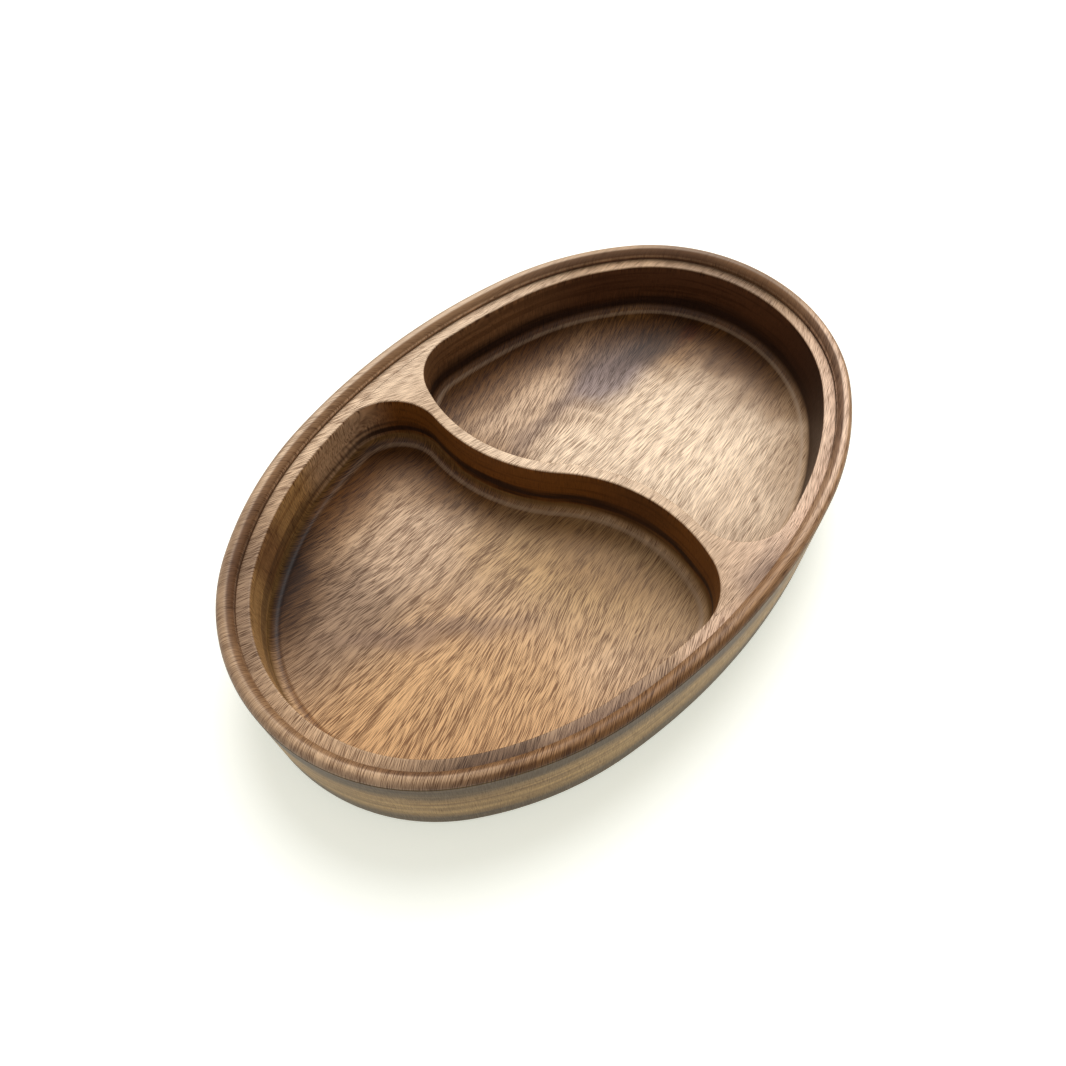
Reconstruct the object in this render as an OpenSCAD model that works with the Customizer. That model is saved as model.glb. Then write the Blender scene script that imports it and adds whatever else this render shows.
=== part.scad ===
// Oval wooden dish, carved from one board. A rounded lip runs round the rim, a narrow ledge inside it
// seats a flat lid, and an S-shaped divider parts the inside into two pockets with coved floors.
// X runs along the dish, Y across it and Z up from the table that it stands on.

/* [Overall] */
// Length over the lip
dish_length = 250; // [236:1:280]
// Width over the lip
dish_width = 164.5; // [156:0.5:171]
// Height from the table to the top of the lip
dish_height = 41; // [36:0.5:60]

/* [Outline] */
// How far each long side swells past the rounded ends, whose radius is half the width less this
side_swell = 14; // [9:0.5:20]
// How early the end arc gives way to the shoulder, against an oval of two radii
end_share = 1.4; // [1.1:0.05:2]
// How late the side arc takes over from the shoulder, against an oval of two radii
side_share = 0.46; // [0.3:0.02:0.9]

/* [Lip and base] */
// Width of the lip, from the outer face in to the ledge
lip_width = 4.8; // [4:0.1:8]
// Height of the lip above the ledge
lip_height = 4.3; // [3:0.1:6]
// Radius that rounds the bottom edge
foot_radius = 3; // [1:0.1:6]

/* [Pockets] */
// Width of the ledge that seats a lid
ledge_width = 4.7; // [2:0.1:6]
// Depth of the pockets below the ledge
pocket_depth = 22.4; // [14:0.2:28]
// Radius of the cove between a pocket's wall and its floor
cove_radius = 3; // [2:0.1:10]
// Thickness of the divider at its middle
divider_thickness = 4; // [2.5:0.1:8]
// Radius of the divider's two bends, on its centre line
divider_radius = 59.4; // [54:0.2:66]
// Direction from the middle of the dish to the centre of a bend
divider_angle = 38.9; // [34:0.1:44]
// Radius of a pocket's corner inside the divider's bend
inner_corner_radius = 20.7; // [14:0.1:26]
// Radius of a pocket's corner outside the divider's bend
outer_corner_radius = 19; // [12:0.1:24]

/* [Hidden] */

// Most that a flat facet lies inside the true curve, and the facets across each rounding
facet_sag = 0.06;
bead_steps = 12;
cove_steps = 6;
foot_steps = 5;
quarter_turn = 90;
half_turn = 180;
full_turn = 360;

ledge_z = dish_height - lip_height;
floor_z = ledge_z - pocket_depth;

// The lip's bead is one circle. It rises from the ledge line, and reaches the lip's height and width.
bead_radius = lip_width + lip_height - sqrt(2 * lip_width * lip_height);
bead_rise = lip_height - bead_radius;
bead_reach = sqrt(bead_radius ^ 2 - bead_rise ^ 2);
bead_foot_angle = asin(bead_rise / bead_radius);

// An oval of two radii would turn from end to side where half the angle that is left has this slope.
// Here three arcs on common tangents share a quarter: end, shoulder and side. Their radii grow by
// the two steps that bring the side arc's centre onto the short axis.
end_radius = dish_width / 2 - side_swell;
end_centre = [dish_length / 2 - end_radius, 0];
turn_slope = side_swell / end_centre.x;
end_angle = quarter_turn - 2 * atan(end_share * turn_slope);
side_angle = quarter_turn - 2 * atan(side_share * turn_slope);
step_unit = end_centre.x / (end_share - side_share);
shoulder_step = step_unit * (1 - side_share) / cos(end_angle);
side_step = step_unit * (end_share - 1) / cos(side_angle);
shoulder_radius = end_radius + shoulder_step;
side_radius = shoulder_radius + side_step;
shoulder_centre = end_centre - polar(shoulder_step, end_angle);
side_centre = shoulder_centre - polar(side_step, side_angle);

// An arc is [centre, radius, first angle, last angle, side]. The side is 1 where the centre lies
// within the outline and -1 where it lies outside. All outlines run anticlockwise.
end_arc = [end_centre, end_radius, -end_angle, end_angle, 1];
shoulder_arc = [shoulder_centre, shoulder_radius, end_angle, side_angle, 1];
side_arc = [side_centre, side_radius, side_angle, half_turn - side_angle, 1];
right_end = [flipped(shoulder_arc), end_arc, shoulder_arc];
rim = concat(right_end, [side_arc], turned(right_end), turned([side_arc]));

// The divider's centre line is two equal arcs that meet on a common tangent in the dish's middle.
hollow_inset = lip_width + ledge_width;
hollow_radius = side_radius - hollow_inset;
bend_centre = polar(divider_radius, divider_angle);
bend_inside = divider_radius - divider_thickness / 2;
bend_outside = divider_radius + divider_thickness / 2;

// Each corner of the right-hand pocket touches a long side and a face of the divider.
inner_corner = crossing(
    side_centre, hollow_radius - inner_corner_radius,
    bend_centre, bend_inside - inner_corner_radius
);
outer_corner = crossing(
    -side_centre, hollow_radius - outer_corner_radius,
    -bend_centre, bend_outside + outer_corner_radius
);
inner_rim_angle = bearing(inner_corner - side_centre);
inner_web_angle = bearing(inner_corner - bend_centre);
outer_rim_angle = bearing(outer_corner + side_centre);
outer_web_angle = bearing(outer_corner + bend_centre);

// The right-hand pocket follows the rim from its outer corner round the end to its inner corner,
// and the divider's face back again.
pocket_rim = concat(
    [[-side_centre, hollow_radius, outer_rim_angle, -side_angle, 1]],
    [for (arc = right_end) inset(arc, hollow_inset)],
    [[side_centre, hollow_radius, side_angle, inner_rim_angle, 1]]
);
pocket_web = [
    [inner_corner, inner_corner_radius, inner_rim_angle, inner_web_angle, 1],
    [bend_centre, bend_inside, inner_web_angle, half_turn + divider_angle, 1],
    [-bend_centre, bend_outside, divider_angle, outer_web_angle, -1],
    [outer_corner, outer_corner_radius, half_turn + outer_web_angle, full_turn + outer_rim_angle, 1]
];
pocket = concat(pocket_rim, pocket_web);

// The divider's end is the stretch of the rim between the two pockets.
divider_end = [side_centre, hollow_radius, inner_rim_angle, half_turn + outer_rim_angle, 1];
divider_half = concat([divider_end], reversed(turned(pocket_web)));
hollow = concat(pocket_rim, [divider_end], turned(pocket_rim), turned([divider_end]));

function polar(radius, angle) = radius * [cos(angle), sin(angle)];
function bearing(v) = atan2(v.y, v.x);

// Where two circles cross, on the left of the way from the first centre to the second
function crossing(first, first_radius, second, second_radius) =
    let (
        gap = norm(second - first),
        ahead = (second - first) / gap,
        along = (first_radius ^ 2 - second_radius ^ 2 + gap ^ 2) / (2 * gap),
        across = sqrt(first_radius ^ 2 - along ^ 2)
    )
    first + along * ahead + across * [-ahead.y, ahead.x];

// An arc moved in by a depth, mirrored across the long axis, or turned half round the dish's middle
function inset(arc, depth) = [arc[0], arc[1] - arc[4] * depth, arc[2], arc[3], arc[4]];
function flipped(arc) = [[arc[0].x, -arc[0].y], arc[1], -arc[3], -arc[2], arc[4]];
function turned(arcs) = [for (arc = arcs) [-arc[0], arc[1], arc[2] + half_turn, arc[3] + half_turn, arc[4]]];
function reversed(arcs) = [
    for (i = [len(arcs) - 1:-1:0])
        let (arc = arcs[i])
        [arc[0], arc[1], arc[3], arc[2], -arc[4]]
];

// Points of a closed outline of arcs, moved in by a depth. Each arc gives its first point and not its last.
function arc_steps(arc) = ceil(abs(arc[3] - arc[2]) / (2 * acos(1 - facet_sag / arc[1])));
function outline(arcs, depth = 0) = [
    for (arc = arcs)
        let (steps = arc_steps(arc), radius = arc[1] - arc[4] * depth)
        for (i = [0:steps - 1]) arc[0] + polar(radius, arc[2] + (arc[3] - arc[2]) * i / steps)
];

// Rings of a surface that follows an outline, one for each [depth, height] of its section
function rings(arcs, section) = [
    for (place = section, point = outline(arcs, place.x)) [point.x, point.y, place.y]
];
function bands(count, first, last) = [
    for (k = [first:last], i = [0:count - 1])
        let (a = k * count + i, b = k * count + (i + 1) % count, up = count)
        each [[a, a + up, b + up], [a, b + up, b]]
];

// A closed section carried round an outline
module carried(arcs, section) {
    count = len(outline(arcs));
    closed = concat(section, [section[0]]);
    last_ring = count * len(section);
    polyhedron(
        rings(arcs, section),
        [for (face = bands(count, 0, len(section) - 1)) [for (i = face) i % last_ring]]
    );
}

// The bottom of the dish with its rounded edge, up to the floor of the pockets
module board() {
    section = concat(
        [
            for (i = [0:foot_steps])
                let (angle = quarter_turn * i / foot_steps)
                foot_radius * [1 - sin(angle), 1 - cos(angle)]
        ],
        [[0, floor_z]]
    );
    count = len(outline(rim));
    top = count * (len(section) - 1);
    polyhedron(
        rings(rim, section),
        concat(
            bands(count, 0, len(section) - 2),
            [[for (i = [0:count - 1]) i], [for (i = [count - 1:-1:0]) top + i]]
        )
    );
}

module cove(arcs) {
    carried(arcs, concat(
        [[0, floor_z]],
        [
            for (i = [0:cove_steps])
                let (angle = quarter_turn * i / cove_steps)
                [0, floor_z] + cove_radius * [1 - cos(angle), 1 - sin(angle)]
        ]
    ));
}

module base() {
    color("peru") {
        board();
        cove(pocket);
        cove(turned(pocket));
    }
}

module wall() {
    color("sienna")
        translate([0, 0, floor_z])
            linear_extrude(pocket_depth)
                difference() {
                    polygon(outline(rim));
                    polygon(outline(hollow));
                }
}

module divider() {
    color("saddlebrown")
        translate([0, 0, floor_z])
            linear_extrude(pocket_depth)
                polygon(outline(concat(divider_half, turned(divider_half))));
}

module lip() {
    color("burlywood")
        carried(rim, [
            for (i = [0:bead_steps])
                let (
                    angle = -bead_foot_angle + (half_turn + 2 * bead_foot_angle) * i / bead_steps,
                    out = bead_reach + bead_radius * cos(angle)
                )
                [lip_width - out, ledge_z + bead_rise + bead_radius * sin(angle)]
        ]);
}

base();
wall();
divider();
lip();
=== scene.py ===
"""Divided oval wooden dish: one carved and lacquered board, shown on a plain pale floor."""

import bpy
import numpy as np
from mathutils import Matrix, Vector


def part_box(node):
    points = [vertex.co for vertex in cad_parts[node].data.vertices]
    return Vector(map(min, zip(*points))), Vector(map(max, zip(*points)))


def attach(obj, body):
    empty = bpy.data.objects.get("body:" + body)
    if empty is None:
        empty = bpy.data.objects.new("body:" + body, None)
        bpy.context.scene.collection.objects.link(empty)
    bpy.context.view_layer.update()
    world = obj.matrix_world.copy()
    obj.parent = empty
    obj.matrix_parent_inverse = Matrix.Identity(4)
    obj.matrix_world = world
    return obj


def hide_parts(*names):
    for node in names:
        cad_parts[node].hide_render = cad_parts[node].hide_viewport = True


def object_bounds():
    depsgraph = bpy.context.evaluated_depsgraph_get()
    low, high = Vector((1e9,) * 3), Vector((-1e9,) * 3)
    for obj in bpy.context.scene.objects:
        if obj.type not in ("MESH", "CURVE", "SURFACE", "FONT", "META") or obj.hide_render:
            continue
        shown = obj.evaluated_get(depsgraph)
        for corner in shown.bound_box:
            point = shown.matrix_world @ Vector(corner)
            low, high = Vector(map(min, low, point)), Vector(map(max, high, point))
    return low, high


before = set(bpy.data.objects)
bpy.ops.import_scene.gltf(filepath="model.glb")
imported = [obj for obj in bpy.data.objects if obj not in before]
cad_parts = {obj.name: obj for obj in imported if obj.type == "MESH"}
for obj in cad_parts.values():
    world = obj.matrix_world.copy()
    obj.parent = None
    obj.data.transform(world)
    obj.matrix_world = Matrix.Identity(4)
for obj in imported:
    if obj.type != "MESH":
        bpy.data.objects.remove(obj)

MM = 0.001
cad_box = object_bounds()
dish_length, dish_width, dish_height = ((high - low) / MM for low, high in zip(*cad_box))
floor_z, ledge_z = (corner.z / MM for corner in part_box("wall"))

# The drawing's sizes in millimetres, the same as the solids have
lip_width = 4.8
side_swell = 14.0
end_share = 1.4
side_share = 0.46
foot_radius = 3.0
ledge_width = 4.7
cove_radius = 3.0
divider_thickness = 4.0
divider_radius = 59.4
divider_angle = np.radians(38.9)
inner_corner_radius = 20.7
outer_corner_radius = 19.0
hollow_inset = lip_width + ledge_width

# Small forms of the finished surface. The quirk is the fine groove outside, under the lip's bead,
# at an angle above the bead's centre. The lip groove runs inside, where the lip meets the ledge.
edge_ease = 0.5
quirk_depth = 0.35
quirk_angle = 20
quirk_turn = 60
lip_groove_depth = 0.12
lip_groove_width = 0.35

# The mesh: its step along the outlines, the points round each arc of the sections, the rings that
# close the flats, the extra rows that hold an edge, and how far it keeps inside the solids
mesh_step = 1.1
foot_points = 8
quirk_points = 6
bead_points = 27
edge_points = 6
cove_points = 14
underside_rings = 9
floor_rings = 11
floor_middle_shift = 8
support = 0.25
inside_cad = 0.02
merge_step = 0.0001


def polar(radius, angle):
    return radius * np.array([np.cos(angle), np.sin(angle)])


def bearing(vector):
    return np.arctan2(vector[1], vector[0])


def crossing(first, first_radius, second, second_radius):
    """Where two circles cross, on the left of the way from the first centre to the second."""
    gap = np.linalg.norm(second - first)
    ahead = (second - first) / gap
    along = (first_radius ** 2 - second_radius ** 2 + gap ** 2) / (2 * gap)
    across = np.sqrt(first_radius ** 2 - along ** 2)
    return first + along * ahead + across * np.array([-ahead[1], ahead[0]])


class Outline:
    """Samples of an outline of tangent arcs. Each sample keeps its arc's centre, its radius, the
    direction out to the outline and the arc's side: 1 if the centre is on the inside, or -1. A point
    at a depth inside the outline is centre + (radius - side * depth) * direction."""

    def __init__(self, centre, radius, direction, side):
        self.centre, self.radius, self.direction, self.side = centre, radius, direction, side

    @classmethod
    def from_arcs(cls, arcs):
        """Each arc is (centre, radius, first angle, last angle, side), and gives its first point
        and not its last."""
        parts = []
        for centre, radius, first, last, side in arcs:
            count = int(np.ceil(radius * abs(last - first) / mesh_step))
            angle = first + (last - first) * np.arange(count) / count
            direction = np.stack([np.cos(angle), np.sin(angle)], axis=1)
            parts.append((np.tile(centre, (count, 1)), np.full(count, radius), direction,
                          np.full(count, float(side))))
        return cls(*(np.concatenate(column) for column in zip(*parts)))

    @classmethod
    def joined(cls, *outlines):
        columns = zip(*((o.centre, o.radius, o.direction, o.side) for o in outlines))
        return cls(*(np.concatenate(column) for column in columns))

    def inside(self, depth):
        return Outline(self.centre, self.radius - self.side * depth, self.direction, self.side)

    def turned(self):
        """The outline turned half round the middle of the dish."""
        return Outline(-self.centre, self.radius, -self.direction, self.side)

    def points(self, depth=0.0):
        depth = np.atleast_1d(depth)
        reach = self.radius[:, None] - self.side[:, None] * depth[None, :]
        return self.centre[:, None, :] + reach[..., None] * self.direction[:, None, :]


def drawn_outlines():
    """The rim of the dish and the right-hand pocket, as the drawing builds them. A quarter of the rim
    is an end, a shoulder and a side arc, whose radii grow by two steps that bring the side's centre
    onto the short axis. The divider is two equal bends, and corner arcs lead them into the sides."""
    end_radius = dish_width / 2 - side_swell
    end_centre = np.array([dish_length / 2 - end_radius, 0.0])
    slope = side_swell / end_centre[0]
    end_angle = np.pi / 2 - 2 * np.arctan(end_share * slope)
    side_angle = np.pi / 2 - 2 * np.arctan(side_share * slope)
    step_unit = end_centre[0] / (end_share - side_share)
    shoulder_step = step_unit * (1 - side_share) / np.cos(end_angle)
    side_step = step_unit * (end_share - 1) / np.cos(side_angle)
    shoulder_radius = end_radius + shoulder_step
    side_radius = shoulder_radius + side_step
    shoulder_centre = end_centre - polar(shoulder_step, end_angle)
    side_centre = shoulder_centre - polar(side_step, side_angle)

    hollow_radius = side_radius - hollow_inset
    bend = polar(divider_radius, divider_angle)
    bend_inside = divider_radius - divider_thickness / 2
    bend_outside = divider_radius + divider_thickness / 2
    inner = crossing(side_centre, hollow_radius - inner_corner_radius,
                     bend, bend_inside - inner_corner_radius)
    outer = crossing(-side_centre, hollow_radius - outer_corner_radius,
                     -bend, bend_outside + outer_corner_radius)
    inner_rim, inner_web = bearing(inner - side_centre), bearing(inner - bend)
    outer_rim, outer_web = bearing(outer + side_centre), bearing(outer + bend)

    rim_side = Outline.from_arcs([
        (-side_centre, side_radius, outer_rim, -side_angle, 1),
        (shoulder_centre * (1, -1), shoulder_radius, -side_angle, -end_angle, 1),
        (end_centre, end_radius, -end_angle, end_angle, 1),
        (shoulder_centre, shoulder_radius, end_angle, side_angle, 1),
        (side_centre, side_radius, side_angle, inner_rim, 1),
    ])
    rim_end = Outline.from_arcs([(side_centre, side_radius, inner_rim, np.pi + outer_rim, 1)])
    web = Outline.from_arcs([
        (inner, inner_corner_radius, inner_rim, inner_web, 1),
        (bend, bend_inside, inner_web, np.pi + divider_angle, 1),
        (-bend, bend_outside, divider_angle, outer_web, -1),
        (outer, outer_corner_radius, np.pi + outer_web, 2 * np.pi + outer_rim, 1),
    ])
    return rim_side, rim_end, web


def arc_section(centre, radius, first, last, count):
    """Points of a section's arc, as (depth, height), with angles in degrees and 0 pointing out."""
    angle = np.radians(np.linspace(first, last, count))
    return np.stack([centre[0] - radius * np.cos(angle), centre[1] + radius * np.sin(angle)], axis=1)


def outer_section():
    """The section from the flat underside round the foot, up the wall, into the quirk, over the bead
    of the lip, through the lip groove and across the ledge. The bead is one circle through the ledge
    line, as high and as wide as the lip."""
    lip_height = dish_height - ledge_z
    bead_radius = lip_width + lip_height - np.sqrt(2 * lip_width * lip_height)
    bead_rise = lip_height - bead_radius
    bead_centre = (bead_radius, ledge_z + bead_rise)
    bead_foot = 180 + np.degrees(np.arcsin(bead_rise / bead_radius))
    shoulder = 2 * quirk_depth
    quirk_z = bead_centre[1] + bead_radius * np.sin(np.radians(quirk_angle)) - quirk_depth / 2
    shoulder_centre = (shoulder, quirk_z - shoulder * np.sin(np.radians(quirk_turn)))
    groove_end = lip_width + lip_groove_width
    section = np.concatenate([
        [(foot_radius + support, 0)],
        arc_section((foot_radius, foot_radius), foot_radius, -90, 0, foot_points),
        [(0, foot_radius + support), (0, shoulder_centre[1] - support)],
        arc_section(shoulder_centre, shoulder, 0, quirk_turn, quirk_points),
        arc_section(bead_centre, bead_radius, quirk_angle, bead_foot, bead_points),
        [(lip_width + lip_groove_width / 2, ledge_z - lip_groove_depth),
         (groove_end, ledge_z - lip_groove_depth / 4),
         (groove_end + support, ledge_z),
         (hollow_inset - edge_ease - support, ledge_z),
         (hollow_inset - edge_ease, ledge_z)],
    ])
    section[:, 0] = np.maximum(section[:, 0], inside_cad)
    return section


def pocket_section():
    """The section from the ledge over the eased edge, down the wall and round the cove."""
    return np.concatenate([
        arc_section((-edge_ease, ledge_z - edge_ease), edge_ease, 90, 180, edge_points),
        [(0, ledge_z - edge_ease - support), (0, floor_z + cove_radius + support)],
        arc_section((cove_radius, floor_z + cove_radius), cove_radius, 0, -90, cove_points),
        [(cove_radius + support, floor_z)],
    ])


def at_height(points, height, inward):
    """Flat points with a height and a distance inward from the rim added, along their last axis."""
    extra = [np.broadcast_to(value, points.shape[:-1])[..., None] for value in (height, inward)]
    return np.concatenate([points, *extra], axis=-1)


def swept(outline, section, start=0.0):
    """The grid of a section, rows of (depth, height), carried round an outline that lies a start
    distance inward from the rim."""
    return at_height(outline.points(section[:, 0]), section[:, 1], start + section[:, 0])


def drawn_in(ring, middle, shares):
    """The grid that shrinks a closed ring towards a middle point by each share in turn."""
    return middle + (ring - middle)[:, None, :] * shares[None, :, None]


def spanned(top, bottom, right, left):
    """The flat grid between four curves that meet at their ends. It is ruled from right to left, and
    adds what the top and bottom curves bow away from their chords, fading over the grid's length."""
    down = np.linspace(0, 1, len(right))[:, None, None]
    over = np.linspace(0, 1, len(top))[None, :, None]
    ruled = right[:, None] * (1 - over) + left[:, None] * over
    top_bow = top - (top[:1] * (1 - over[0]) + top[-1:] * over[0])
    bottom_bow = bottom - (bottom[:1] * (1 - over[0]) + bottom[-1:] * over[0])
    return ruled + (1 - down) * top_bow[None] + down * bottom_bow[None]


class Shell:
    """Grids of points joined into one mesh. Points that coincide are merged at the end."""

    def __init__(self):
        self.points, self.faces, self.count = [], [], 0

    def add(self, grid, closed=False, flip=False):
        """A grid's faces join its rows, and its last row to its first if it is closed."""
        rows, columns = grid.shape[:2]
        index = self.count + np.arange(rows * columns).reshape(rows, columns)
        if closed:
            index = np.concatenate([index, index[:1]])
        quads = np.stack([index[:-1, :-1], index[1:, :-1], index[1:, 1:], index[:-1, 1:]], axis=-1)
        self.faces.append(quads.reshape(-1, 4)[:, ::-1 if flip else 1])
        self.points.append(grid.reshape(-1, 4))
        self.count += rows * columns

    def object(self, name):
        """Merges points that round to the same place, drops faces that collapse, and makes the
        mesh. A quad with two merged corners becomes a triangle."""
        points = np.concatenate(self.points)
        faces = np.concatenate(self.faces)
        key = np.round(points[:, :3] / merge_step).astype(np.int64)
        _, first, same = np.unique(key, axis=0, return_index=True, return_inverse=True)
        faces = same.ravel()[faces]
        repeats = faces == np.roll(faces, -1, axis=1)
        quads = faces[~repeats.any(axis=1)]
        short = faces[repeats.sum(axis=1) == 1]
        keep = ~repeats[repeats.sum(axis=1) == 1]
        triangles = short[keep].reshape(-1, 3)
        mesh = bpy.data.meshes.new(name)
        kept = points[first]
        mesh.from_pydata((kept[:, :3] * MM).tolist(), [], quads.tolist() + triangles.tolist())
        inward = mesh.attributes.new("inward", "FLOAT", "POINT")
        inward.data.foreach_set("value", kept[:, 3].astype(np.float32))
        mesh.polygons.foreach_set("use_smooth", np.ones(len(mesh.polygons), bool))
        mesh.update()
        piece = bpy.data.objects.new(name, mesh)
        bpy.context.scene.collection.objects.link(piece)
        return piece


def carved_dish():
    """The whole dish as one closed skin: underside, outer face with the lip and the ledge, both
    pockets with their floors, and the flat top of the divider."""
    rim_side, rim_end, web = drawn_outlines()
    rim = Outline.joined(rim_side, rim_end, rim_side.turned(), rim_end.turned())
    pocket = Outline.joined(rim_side.inside(hollow_inset), web)
    shell = Shell()

    outer = swept(rim, outer_section())
    shell.add(outer, closed=True)
    under_middle = np.array([0, 0, 0, foot_radius])
    underside = drawn_in(outer[:, 0], under_middle, np.linspace(1, 0, underside_rings))
    shell.add(underside, closed=True, flip=True)

    section = pocket_section()
    floor_middle = np.array([dish_length / 4 - floor_middle_shift, 0, floor_z, dish_width / 2])
    for outline, side in ((pocket, 1), (pocket.turned(), -1)):
        walls = swept(outline, section, hollow_inset)
        shell.add(walls, closed=True)
        middle = floor_middle * (side, side, 1, 1)
        shell.add(drawn_in(walls[:, -1], middle, np.linspace(1, 0, floor_rings)), closed=True)

    # Each run ends on the first point of the next stretch
    ledge_edge = hollow_inset - edge_ease
    top_run = Outline.joined(rim_end, rim_side.turned()).points(ledge_edge)
    top_run = top_run[:len(rim_end.side) + 1, 0]
    web_run = Outline.joined(web, rim_side.inside(hollow_inset)).points(-edge_ease)
    web_run = web_run[:len(web.side) + 1, 0]
    top = spanned(top_run, -top_run[::-1], web_run, -web_run[::-1])
    shell.add(at_height(top, ledge_z, ledge_edge), flip=True)
    return shell.object("carved_dish")


# The camera as the photograph's frame gives it, in pixels and degrees
frame_size = 1066
focal_length = 855.68
optical_centre = np.array([575.0, 533.0])
tilt_down = np.radians(58.64)
roll = np.radians(3.35)
turn = np.radians(51.15)
ledge_middle = np.array([561.28, 467.89])
ledge_distance = 293.55
sensor_width = 36.0
nearest_seen = 0.01


def placed_camera():
    """Sees the middle of the ledge's plane at the named pixel and distance. The view is tilted down
    and rolled, and the dish is turned about its upright axis under it."""
    ahead = np.array([0, np.cos(tilt_down), -np.sin(tilt_down)])
    above = np.array([0, np.sin(tilt_down), np.cos(tilt_down)])
    right = np.cos(roll) * np.array([1, 0, 0]) + np.sin(roll) * above
    above = np.cos(roll) * above - np.sin(roll) * np.array([1, 0, 0])
    spin = np.array([[np.cos(turn), -np.sin(turn), 0], [np.sin(turn), np.cos(turn), 0], [0, 0, 1]])
    axes = np.stack([right, above, -ahead]) @ spin
    off_centre = (ledge_middle - optical_centre) / focal_length
    seen = ledge_distance * np.array([off_centre[0], -off_centre[1], -1])
    place = np.array([0, 0, ledge_z]) - axes.T @ seen
    lens = bpy.data.cameras.new("camera")
    lens.sensor_width = sensor_width
    lens.lens = sensor_width * focal_length / frame_size
    lens.shift_x = (frame_size / 2 - optical_centre[0]) / frame_size
    lens.shift_y = (optical_centre[1] - frame_size / 2) / frame_size
    lens.clip_start = nearest_seen
    camera = bpy.data.objects.new("camera", lens)
    turned = Matrix(axes.T.tolist()).to_4x4()
    camera.matrix_world = Matrix.Translation((place * MM).tolist()) @ turned
    bpy.context.scene.collection.objects.link(camera)
    bpy.context.scene.camera = camera


class Value:
    """A number socket. Arithmetic on it adds Math nodes, also with a plain number on the left."""

    def __init__(self, shader, socket):
        self.shader, self.socket = shader, socket

    def math(self, operation, *terms):
        """This number first, and then the other terms."""
        return self.shader.node("ShaderNodeMath", {"operation": operation}, self, *terms)

    def __add__(self, other):
        return self.math("ADD", other)

    def __sub__(self, other):
        return self.math("SUBTRACT", other)

    def __rsub__(self, other):
        return self.shader.node("ShaderNodeMath", {"operation": "SUBTRACT"}, other, self)

    def __mul__(self, other):
        return self.math("MULTIPLY", other)

    def __truediv__(self, other):
        return self.math("DIVIDE", other)

    __radd__ = __add__
    __rmul__ = __mul__

    def eased(self, low, high):
        """0 up to low and 1 from high, with a smooth rise between. It falls if low is above high."""
        settings = {"interpolation_type": "SMOOTHSTEP"}
        first, last = (low, high) if low < high else (high, low)
        ends = (0, 1) if low < high else (1, 0)
        return self.shader.node("ShaderNodeMapRange", settings, self, first, last, *ends)


class Shader:
    """The nodes of one material or world. Numbers are Value, and colours and vectors are plain
    sockets."""

    def __init__(self, owner, surface="Principled BSDF"):
        owner.use_nodes = True
        self.owner = owner
        self.tree = owner.node_tree
        self.surface = self.tree.nodes[surface]

    def node(self, kind, settings, *inputs, output=0, **named):
        """Adds a node: its settings first, then its sockets by order and by name. A socket takes a
        value or a link. Returns the output as a Value if it is a number, or else as a socket."""
        node = self.tree.nodes.new(kind)
        for key, setting in settings.items():
            setattr(node, key, setting)
        sockets = [socket for socket in node.inputs if socket.enabled]
        for socket, source in zip(sockets, inputs):
            self.feed(socket, source)
        for key, source in named.items():
            self.feed(node.inputs[key], source)
        result = [socket for socket in node.outputs if socket.enabled][output]
        return Value(self, result) if result.type == "VALUE" else result

    def feed(self, socket, source):
        if isinstance(source, Value):
            source = source.socket
        if isinstance(source, bpy.types.NodeSocket):
            self.tree.links.new(source, socket)
        else:
            socket.default_value = source

    def set(self, constants):
        """Sets constants on the surface's own sockets, by name."""
        for name, constant in constants.items():
            self.surface.inputs[name].default_value = constant

    def mix(self, mask, first, second, blend="MIX"):
        """The first colour where the mask is 0 and the second, or its blend with the first, at 1."""
        settings = {"data_type": "RGBA", "blend_type": blend, "clamp_factor": True}
        return self.node("ShaderNodeMix", settings, mask, first, second)

    def noise(self, place, detail, scale=1.0, output=0):
        """Smooth noise, as a number of about 0.5, or as a colour of three such numbers from output 1."""
        settings = {"noise_dimensions": "3D"}
        return self.node("ShaderNodeTexNoise", settings, output=output,
                         Vector=place, Scale=scale, Detail=detail)

    def mapped(self, place, centre=(0, 0, 0), degrees=0, size=(1, 1, 1)):
        """Places measured from a centre, along axes turned about the upright, in units of a size."""
        turn = (0, 0, np.radians(degrees))
        return self.node("ShaderNodeMapping", {"vector_type": "TEXTURE"}, place, centre, turn, size)

    def seen(self):
        """1 for the rays that show a thing to the camera, straight or by reflection, and else 0."""
        path = self.node("ShaderNodeLightPath", {}).socket.node.outputs
        rays = ("Is Camera Ray", "Is Glossy Ray", "Is Transmission Ray")
        return sum(Value(self, path[ray]) for ray in rays)

    def moved(self, place, wander, reach):
        """A place moved by a noise colour, by up to half a reach along each axis."""
        shift = self.vector("SUBTRACT", wander, (0.5, 0.5, 0.5))
        return self.vector("ADD", place, self.vector("MULTIPLY", shift, reach))

    def vector(self, operation, *terms):
        return self.node("ShaderNodeVectorMath", {"operation": operation}, *terms)


def paint(red, green, blue):
    """A linear colour from the values of 0 to 255 that a picture shows."""
    shown = np.array([red, green, blue]) / 255
    linear = np.where(shown <= 0.04045, shown / 12.92, ((shown + 0.055) / 1.055) ** 2.4)
    return (*linear, 1)


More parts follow.
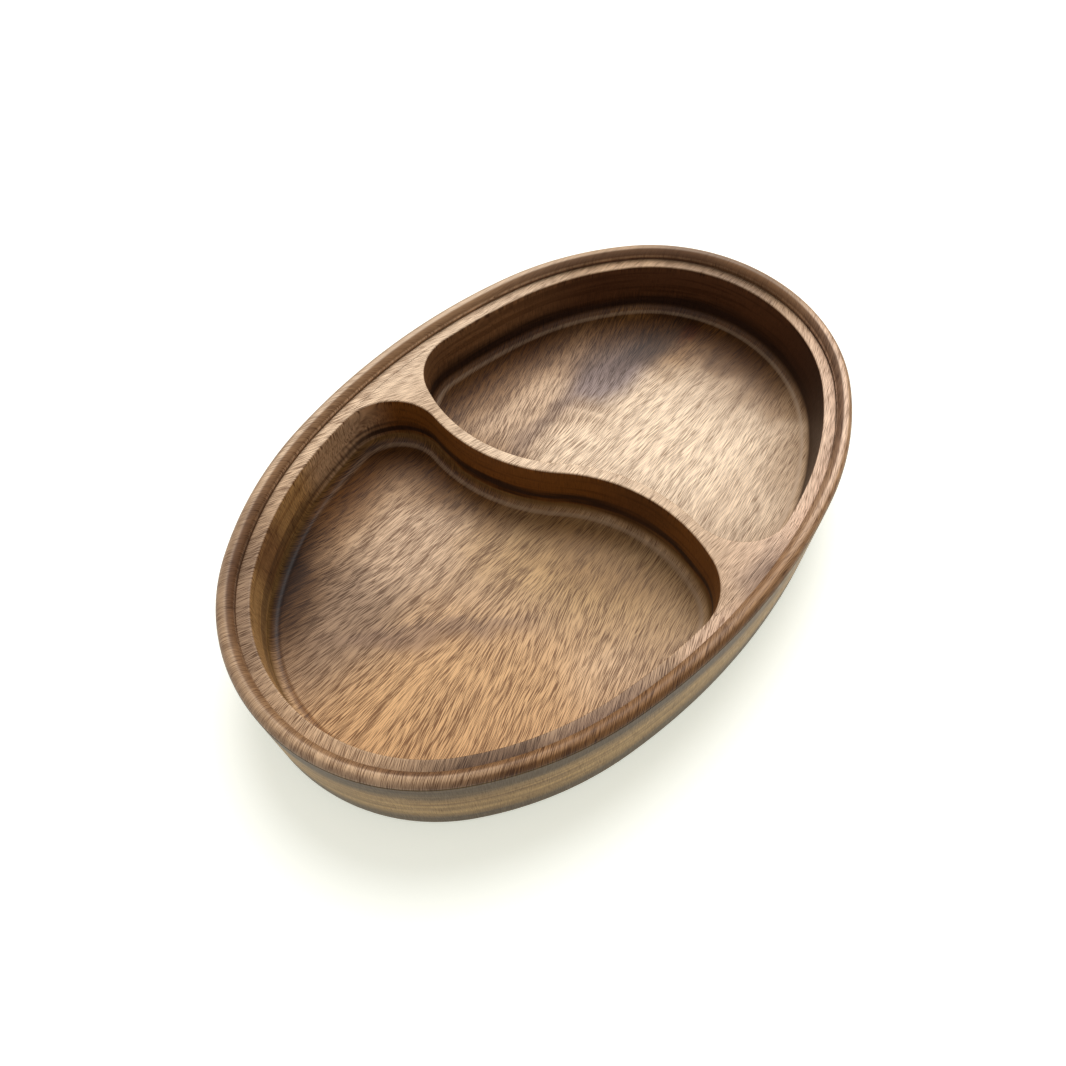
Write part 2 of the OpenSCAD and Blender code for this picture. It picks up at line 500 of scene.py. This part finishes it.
CREAM = paint(226, 197, 166)
IVORY = paint(240, 213, 182)
TAN = paint(186, 153, 120)
GOLD = paint(200, 158, 112)
OLIVE = paint(144, 110, 58)
GREY_BROWN = paint(134, 108, 86)
DARK_BROWN = paint(92, 68, 50)
SMOKE = paint(124, 107, 107)
PLUM = paint(120, 93, 78)
# The tone that painted shade multiplies a colour by. The walls' darker rings, which are grain, use it
# too.
SHADE = (0.42, 0.3, 0.15, 1)
UMBER = paint(122, 92, 52)
STRAW = paint(184, 148, 90)
SLATE = paint(60, 43, 20)
BARK = paint(68, 50, 24)
WALNUT = paint(84, 50, 27)
CHESTNUT = paint(112, 68, 24)
SADDLE = paint(174, 136, 86)
HONEY = paint(154, 116, 80)
COCOA = paint(94, 62, 38)
TOFFEE = paint(132, 95, 60)
RUSSET = paint(106, 72, 40)
NIGHT = paint(48, 28, 17)
PALE_TAN = paint(200, 169, 139)
PINK_TAN = paint(226, 192, 164)
RUST = paint(150, 90, 48)
DUSK = paint(88, 66, 58)
PALE_BROWN = paint(160, 130, 102)
AMBER = paint(174, 138, 92)

# Stains are (colour, middle, reach along and across, tilt in degrees, strength), in millimetres
FLOOR_STAINS = [
    (IVORY, (52, -14), (56, 48), 0, 1.0),
    (PALE_TAN, (20, 38), (40, 26), 15, 0.6),
    (IVORY, (22, 10), (20, 20), 0, 0.8),
    (CREAM, (48, -52), (34, 16), -10, 0.8),
    (CREAM, (-42, -52), (20, 12), -20, 0.5),
    (PLUM, (24, 30), (34, 5), 4, 0.5),
    (PLUM, (70, 36), (26, 12), -12, 0.7),
    (SMOKE, (60, 27), (26, 13), -8, 0.85),
    (DUSK, (84, 24), (26, 8), -8, 0.8),
    (TAN, (82, 44), (12, 7), -20, 0.6),
    (RUST, (102, 17), (9, 4), 0, 0.7),
    (PALE_BROWN, (92, -12), (24, 28), 15, 0.6),
    (GOLD, (-80, -28), (66, 42), -35, 1.0),
    (AMBER, (-12, -26), (30, 58), 20, 0.9),
    # This dark brown stain by the left pocket's far wall is partly the wood and partly painted shade of
    # that wall.
    (DARK_BROWN, (-92, 48), (34, 17), 30, 1.0),
    (GREY_BROWN, (-84, 24), (38, 24), 5, 0.8),
    (PALE_TAN, (-46, 28), (26, 20), 20, 0.8),
    (PLUM, (-66, -4), (40, 5), -42, 0.6),
]
# Shades are (middle, reach along and across, tilt in degrees, strength). They are painted shade,
# mostly on the floors next to the walls and the divider that shadow them.
PAINTED_FLOOR_SHADES = [
    ((36, 72), (80, 24), -6, 1.0),
    ((60, 70), (60, 22), -14, 0.9),
    ((98, 46), (42, 24), -38, 1.0),
    ((76, 32), (30, 14), -10, 0.5),
    ((116, 8), (28, 52), 0, 0.9),
    ((114, 12), (16, 40), 8, 0.9),
    ((100, -34), (14, 26), 35, 0.6),
    ((-36, 70), (60, 26), 6, 1.0),
    ((-56, 62), (40, 18), 14, 0.8),
    ((-90, 44), (34, 18), 32, 0.9),
    ((-14, 38), (22, 44), 20, 1.0),
    ((-12, 32), (12, 34), 22, 0.8),
    ((0, -14), (12, 32), 32, 0.7),
    ((12, -46), (10, 30), 0, 0.2),
    ((20, 58), (50, 14), -4, 0.75),
    ((65, 44), (34, 12), -14, 0.5),
    ((91, 20), (22, 20), 0, 0.85),
    ((80, 40), (20, 12), -30, 0.5),
    ((54, 56), (18, 10), -8, 0.45),
    ((72, -52), (20, 10), 25, 0.3),
    ((-23, 18), (8, 20), 20, 0.4),
    ((101, -2), (12, 24), 0, 0.6),
    ((110, -22), (14, 36), 22, 0.8),
    ((-8, -32), (12, 36), 20, 0.45),
    ((-88, 42), (20, 12), 30, 0.45),
]
TOP_STAINS = [
    (PINK_TAN, (70, -62), (90, 40), 22, 1.0),
    (CREAM, (-4, 84), (110, 34), 0, 1.0),
    (CREAM, (0, 0), (24, 62), 10, 1.0),
    (GREY_BROWN, (124, 20), (26, 46), 10, 0.9),
    (GREY_BROWN, (-110, 40), (30, 50), -42, 0.8),
    (DARK_BROWN, (-92, -62), (44, 22), -32, 1.0),
    (PLUM, (-56, -78), (34, 18), -12, 0.9),
    (PINK_TAN, (-16, -80), (18, 10), 0, 0.8),
    (PLUM, (14, -76), (14, 8), 0, 0.6),
]

# How a stain or shade fades: its share of the reach where it ends, and where it is full
oval_fade = (1.2, 0.3)
endless = 1000

# The grain's turn in degrees, with the spans along X and across Y over which it comes in. A span
# that is written from high to low comes in towards the lower end. The floors and the top differ.
FLOOR_SWIRL = [
    (22, (-30, 0), (8, 35)),
    (-15, (-45, -85), (8, 35)),
    (10, (-30, 0), (-5, -30)),
    (20, (0, -30), (-5, -30)),
]
TOP_SWIRL = [
    (-20, (60, 10), (0, 30)),
    (28, (10, -20), (10, -20)),
    (25, (20, 50), (10, -20)),
]
swirl_heights = (24, 34)
swirl_step = 4
swirl_fade = (0.3, 0.7)
streak_size = (4.5, 0.15, 4)
streak_detail = 0.5

# Patches of the lip and the walls, as (strength, spans along X, spans across Y)
PATCHES = {
    "side_right": (1.0, [(-20, 60)], []),
    "crest_far": (0.3, [], [(60, 84)]),
    "crest_middle": (1.0, [(15, -15), (-80, -60)], []),
    "crest_near": (0.85, [(80, 10)], []),
    "slope_middle": (1.0, [(80, 30), (-100, -50)], []),
    "slope_right_end": (0.6, [(110, 122)], []),
    "slope_near": (1.0, [(80, 40)], []),
    "slope_left_end": (1.0, [(-105, -122)], []),
    "pocket_left": (1.0, [(-18, -50)], []),
    "pocket_dim": (0.8, [(-74, -84), (-97, -91)], [(0, 20)]),
    "pocket_pale": (0.6, [(-18, -35), (-66, -52)], [(40, 60)]),
    "pocket_far": (0.7, [(85, 40)], [(40, 60)]),
    "pocket_near": (1.0, [], [(0, -50)]),
    "outside_right": (0.6, [(-20, 40)], []),
    # The two foot patches place painted shade and a painted highlight along the foot of the coves
    "foot_painted_shade": (0.9, [(-50, -85)], []),
    "foot_painted_highlight": (1.0, [(-75, -15)], []),
    "streaky_left": (1.0, [(-5, -40)], []),
    "streaky_far": (1.0, [], [(0, 32)]),
    "plain_far": (0.6, [], [(-50, 10)]),
}

# Leaning boundaries: the near side's as a span across Y that falls with X by a slope, and the ends'
# as a slope across Y and a span along X
near_slope = 0.3
near_span = (0, -40)
left_end = (0.2, (-88, -110))
right_pocket = (0.2, (1, 9))

# Heights where one zone of the wood gives way to the next
floor_heights = (17.5, 14.4)
top_heights = (35.9, 36.6)
crest_heights = (38.8, 39.3)
cove_heights = (14.6, 17)
wall_heights = (35.5, 34)
bead_heights = (39.2, 38.8)
streaky_heights = (30, 20)

# Heights of the layers in the walls
dark_band_top = (25, 22)
dark_band_foot = (18.5, 20.5)
deep_heights = (25, 19)
umber_heights = (19.5, 17)
slate_heights = (25, 34)
bark_heights = (14, 7)
edge_heights = (0.8, 0.2)

# Distances inward from the rim where one zone gives way to the next
crest_inward = (1.2, 2.3)
over_inward = (1.2, 2)
slope_inward = (lip_width - 1.7, lip_width - 0.9)
lip_inward = (lip_width + 0.7, lip_width + 0.4)
inside_inward = (7.5, 8.5)
cove_foot = hollow_inset + cove_radius
foot_line_rise = (cove_foot - 1.8, cove_foot - 0.6)
foot_line_fall = (cove_foot + 1.2, cove_foot - 0.2)
foot_line_heights = (17, 15.5)

# The sizes of the wood's slower patterns along, across and up
layer_size = (60, 30, 3.2)
layer_detail = 2.0
layer_sway = 8
ring_size = (60, 40, 1.6)
ring_detail = 1.0
band_size = (70, 3.5, 3.5)
band_detail = 2.0
band_tilt = 8

# Slow drifts, as (reach along X, Y and Z, scale, detail), and how far the streaks pull a stain's
# edge along X and across Y
grain_sway = ((2, 2, 2), 0.05, 1.0)
stain_drift = ((16, 6, 0), 0.07, 2.0)
stain_jag = (10, 3)

# The values of the layers' noise over which olive replaces straw, and of the rings' that darken
olive_span = (0.3, 0.7)
ring_span = (0.5, 0.3)

# How strongly each layer shows over what lies under it
slope_strength = 0.9
slope_facing_strength = 0.85
left_end_strength = 0.6
left_band_fade = 0.5
slate_strength = 0.85
bark_strength = 0.85
ring_strength = 0.5
# The strength of the painted highlight along the foot of the coves
foot_highlight_strength = 0.36

# What a pore and a gleam multiply the wood's colour by, and over which values of the figure
PORE = (0.40, 0.32, 0.26, 1)
GLEAM = (1.42, 1.43, 1.42, 1)
pore_span = (0.02, -0.14)
gleam_span = (-0.02, 0.14)

# How much the streaks show: everywhere, more where they are strong, and less on faces that stand
# upright, outside and inside, and on the foot line. Bands add their share to the streaks.
streak_contrast = 0.6
streaky_contrast = 0.7
upright_calm = 0.8
inside_relief = 0.1
foot_line_calm = 0.7
band_share = 0.35

# The lacquer, and the pores that show in its surface
lacquer_roughness = 0.46
streak_roughness = 0.2
pore_strength = 0.12
pore_depth = 0.1 * MM
lacquer = {"Specular IOR Level": 0.16, "Coat Weight": 0.05, "Coat Roughness": 0.3}


def soft_oval(shader, place, middle, reach, tilt):
    """1 in the middle of a soft upright oval column, and 0 outside it."""
    oval = shader.mapped(place, (*middle, 0), tilt, (*reach, endless))
    return shader.vector("LENGTH", oval).eased(*oval_fade)


def stained(shader, place, ground, stains):
    """A ground colour with soft oval stains laid over it in turn."""
    colour = ground
    for stain, middle, reach, tilt, strength in stains:
        mask = soft_oval(shader, place, middle, reach, tilt) * strength
        colour = shader.mix(mask, colour, stain)
    return colour


def shaded(shader, place, ground, shades):
    """Painted shade: a colour darkened and warmed in soft ovals."""
    colour = ground
    for middle, reach, tilt, strength in shades:
        mask = soft_oval(shader, place, middle, reach, tilt) * strength
        colour = shader.mix(mask, colour, SHADE, "MULTIPLY")
    return colour


def grain_angle(x, y, z):
    """The direction of the grain in degrees from the length of the dish, by place."""
    floor, top = (sum(turn * x.eased(*along) * y.eased(*across) for turn, along, across in swirl)
                  for swirl in (FLOOR_SWIRL, TOP_SWIRL))
    height = z.eased(*swirl_heights)
    return floor * (1 - height) + top * height


def swirled_streaks(shader, place, angle):
    """Noise that is long along the grain and fine across it, with 0 as its middle. The places are
    turned by the grain's angle in whole steps, and each step fades into the next at a steady
    contrast, so the streaks bend with the grain and don't shear."""
    def layer(turn):
        turned = shader.node("ShaderNodeVectorRotate", {"rotation_type": "Z_AXIS"},
                             Vector=place, Angle=turn * -np.radians(swirl_step))
        return shader.noise(shader.mapped(turned, size=streak_size), streak_detail) - 0.5

    level = angle / swirl_step
    step = level.math("FLOOR")
    share = (level - step).eased(*swirl_fade)
    squares = (1 - share) * (1 - share) + share * share
    return (layer(step) * (1 - share) + layer(step + 1) * share) / squares.math("SQRT")


def patch_mask(x, y, strength, along, across):
    """A patch's strength at a place, where all its spans have come in, and less where they haven't."""
    mask = strength
    for axis, spans in ((x, along), (y, across)):
        for span in spans:
            mask = axis.eased(*span) * mask
    return mask


def leaning(x, y, slope, span):
    """What comes in over a span along X that leans by a slope across Y."""
    return (x + y * slope).eased(*span)


def lip_colour(shader, near, end, inward, patch, top):
    """The lip from its outer side over the crest and down its slope to the ledge. Its near side is
    warmer. Its slope is cocoa towards the ends, partly as painted shade, and toffee in the middle, and
    it is painted lighter where it faces the window, with more of the top's colour."""
    side = shader.mix(near, PALE_BROWN, shader.mix(patch["side_right"], RUSSET, HONEY))

    front = shader.mix(patch["crest_middle"], HONEY, TOFFEE)
    crest = shader.mix(patch["crest_far"], top, PALE_BROWN)
    crest = shader.mix(near * patch["crest_near"], crest, front)
    crest = shader.mix(end * left_end_strength, crest, TAN)

    # Painted light and shade on the slope: it is lightened where it faces the window, on the near side
    # and at the left end, and the cocoa that it keeps towards the ends is partly painted shade.
    painted_lit_slope = (near * patch["slope_near"] + patch["slope_left_end"]).math("MINIMUM", 1)
    slope = shader.mix(patch["slope_middle"] + patch["slope_right_end"], COCOA, TOFFEE)
    slope = shader.mix(painted_lit_slope, slope, shader.mix(slope_facing_strength, top, TOFFEE))

    lip = shader.mix(inward.eased(*crest_inward), side, crest)
    return shader.mix(inward.eased(*slope_inward) * slope_strength, lip, slope)


def pocket_wall_colour(shader, right, height, patch):
    """The walls inside the pockets: golden at the left end, and chestnut with a dark band along the
    divider. The right pocket's are dark, and darker still towards its floor and its near side."""
    left = patch["pocket_left"]
    colour = shader.mix(right, CHESTNUT, shader.mix(patch["pocket_near"], WALNUT, NIGHT))
    colour = shader.mix(left, colour, shader.mix(patch["pocket_dim"], SADDLE, TOFFEE))
    colour = shader.mix(patch["pocket_pale"], colour, PALE_TAN)
    colour = shader.mix(right * patch["pocket_far"], colour, TOFFEE)

    dark_band = height.eased(*dark_band_top) * height.eased(*dark_band_foot)
    dark_band = dark_band * (1 - left * left_band_fade) * (1 - right)
    deep = height.eased(*deep_heights) * right
    colour = shader.mix(dark_band + deep, colour, NIGHT)
    return shader.mix(height.eased(*umber_heights) * (1 - right), colour, UMBER)


def outer_wall_colour(shader, z, height, layers, patch):
    """The wall outside: straw and olive layers between a dark upper edge and a dark foot. The upper
    edge is paler to the right."""
    slate = height.eased(*slate_heights) * (slate_strength - patch["outside_right"])
    colour = shader.mix(layers.eased(*olive_span), STRAW, OLIVE)
    colour = shader.mix(slate, colour, SLATE)
    colour = shader.mix(height.eased(*bark_heights) * bark_strength, colour, BARK)
    return shader.mix(z.eased(*edge_heights), colour, TAN)


def lacquered_wood():
    """A solid striped wood under a satin lacquer, worked out in millimetres."""
    shader = Shader(bpy.data.materials.new("lacquered_wood"))
    metres = shader.node("ShaderNodeTexCoord", {}, output=3)
    place = shader.mapped(metres, size=(MM, MM, MM))
    first = shader.node("ShaderNodeSeparateXYZ", {}, place)
    x, y, z = (Value(shader, output) for output in first.socket.node.outputs)
    inward = shader.node("ShaderNodeAttribute", {"attribute_name": "inward"}, output=2)
    inside = inward.eased(*inside_inward)
    on_lip = inward.eased(*lip_inward)
    over_crest = inward.eased(*over_inward)
    near = (y - x * near_slope).eased(*near_span)
    end = leaning(x, y, *left_end)
    right = leaning(x, y, *right_pocket)
    patch = {name: patch_mask(x, y, *row) for name, row in PATCHES.items()}

    # The grain's streaks, which sway a little
    reach, scale, detail = grain_sway
    wavy = shader.moved(place, shader.noise(place, detail, scale, 1), reach)
    streaks = swirled_streaks(shader, wavy, grain_angle(x, y, z))

    # The floors and the top, with stains whose edges drift and run out along the streaks, and painted
    # shade on the floors
    reach, scale, detail = stain_drift
    loose = shader.moved(place, shader.noise(place, detail, scale, 1), reach)
    jag = shader.node("ShaderNodeCombineXYZ", {}, *(streaks * pull for pull in stain_jag))
    loose = shader.vector("ADD", loose, jag)
    floor = stained(shader, loose, TAN, FLOOR_STAINS)
    floor = shaded(shader, loose, floor, PAINTED_FLOOR_SHADES)
    top = stained(shader, loose, TAN, TOP_STAINS)
    top = shader.mix(on_lip, top, lip_colour(shader, near, end, inward, patch, top))

    # The walls, with layers and rings that lie flat
    layers = shader.noise(shader.mapped(wavy, size=layer_size), layer_detail)
    rings = shader.noise(shader.mapped(wavy, size=ring_size), ring_detail)
    height = z + (layers - 0.5) * layer_sway
    wall = shader.mix(inside, outer_wall_colour(shader, z, height, layers, patch),
                      pocket_wall_colour(shader, right, height, patch))
    wall = shader.mix(rings.eased(*ring_span) * ring_strength, wall, SHADE, "MULTIPLY")

    # The zones together, and along the foot of the coves a painted highlight, with painted shade instead
    # at the left end
    colour = shader.mix(z.eased(*floor_heights) * inside, wall, floor)
    foot_line = inward.eased(*foot_line_rise) * inward.eased(*foot_line_fall)
    foot_line = foot_line * z.eased(*foot_line_heights)
    colour = shader.mix(foot_line * patch["foot_painted_shade"], colour, SHADE, "MULTIPLY")
    foot_line = foot_line * patch["foot_painted_highlight"]
    colour = shader.mix(foot_line * foot_highlight_strength, colour, PALE_TAN)
    over = (z.eased(*crest_heights) + over_crest).math("MINIMUM", 1)
    colour = shader.mix(z.eased(*top_heights) * over, colour, top)

    # The figure of streaks and bands, calmer on upright faces
    streaky = patch["streaky_left"] + patch["streaky_far"] * z.eased(*streaky_heights)
    plain = on_lip * patch["plain_far"]
    walls = z.eased(*wall_heights) * z.eased(*cove_heights)
    bead_side = z.eased(*bead_heights) * (1 - inside) * (1 - over_crest)
    upright = walls + (1 - walls) * bead_side
    contrast = streak_contrast + streaky.math("MINIMUM", 1) * streaky_contrast
    contrast = contrast * (1 - plain) * (1 - upright * (upright_calm - inside * inside_relief))
    bands = shader.noise(shader.mapped(wavy, degrees=band_tilt, size=band_size), band_detail)
    figure = streaks + (bands - 0.5) * band_share
    figure = figure * contrast * (1 - foot_line * foot_line_calm)
    light = shader.mix(1.0, colour, GLEAM, "MULTIPLY")
    dark = shader.mix(1.0, colour, PORE, "MULTIPLY")
    colour = shader.mix(figure.eased(*gleam_span), colour, light)
    colour = shader.mix(figure.eased(*pore_span), colour, dark)

    bump = shader.node("ShaderNodeBump", {}, Strength=pore_strength, Distance=pore_depth,
                       Height=streaks)
    shader.feed(shader.surface.inputs["Base Color"], colour)
    shader.feed(shader.surface.inputs["Roughness"], lacquer_roughness - streaks * streak_roughness)
    shader.feed(shader.surface.inputs["Normal"], bump)
    shader.set(lacquer)
    return shader.owner


# The studio, in metres and watts
floor_reach = 2.0
window_direction = (0.52, 0.34, 0.95)
window_distance = 2.4
window_size = 1.6
window_power = 41.0
room_light = 0.46


def pale_table():
    """A matt near-white floor. It also glows a little to the rays that show it, so that it stands
    out white, and lights nothing."""
    shader = Shader(bpy.data.materials.new("pale_table"))
    glow = shader.mix(shader.seen(), (0, 0, 0, 1), (0.93, 0.95, 0.8, 1))
    shader.feed(shader.surface.inputs["Emission Color"], glow)
    shader.set({"Base Color": (0.86, 0.86, 0.85, 1), "Roughness": 0.7, "Emission Strength": 0.5})
    return shader.owner


def table_top():
    """A wide flat floor at the height that the dish stands on."""
    corners = [(x * floor_reach, y * floor_reach, 0) for x, y in ((-1, -1), (1, -1), (1, 1), (-1, 1))]
    mesh = bpy.data.meshes.new("floor")
    mesh.from_pydata(corners, [], [(0, 1, 2, 3)])
    floor = bpy.data.objects.new("floor", mesh)
    bpy.context.scene.collection.objects.link(floor)
    mesh.materials.append(pale_table())


def window_light():
    """A large round soft light that faces the middle of the dish."""
    lamp = bpy.data.lights.new("window", "AREA")
    lamp.shape = "DISK"
    lamp.size = window_size
    lamp.energy = window_power
    light = bpy.data.objects.new("window", lamp)
    unit = Vector(window_direction).normalized()
    light.location = unit * window_distance
    light.rotation_euler = unit.to_track_quat("Z", "Y").to_euler()
    bpy.context.scene.collection.objects.link(light)


def white_studio():
    """A soft even light from all round, which the rays that show it see as plain white."""
    world = bpy.data.worlds.new("studio")
    bpy.context.scene.world = world
    shader = Shader(world, "Background")
    shader.set({"Color": (1, 1, 1, 1), "Strength": room_light})
    white = shader.node("ShaderNodeBackground", {}, (1, 1, 1, 1), 1.0)
    both = shader.node("ShaderNodeMixShader", {}, shader.seen(), shader.surface.outputs[0], white)
    shader.tree.links.new(both, shader.tree.nodes["World Output"].inputs["Surface"])


dish = carved_dish()
dish.data.materials.append(lacquered_wood())
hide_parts("base", "wall", "divider", "lip")
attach(dish, "root")
placed_camera()
table_top()
window_light()
white_studio()
bpy.context.scene.view_settings.view_transform = "Standard"
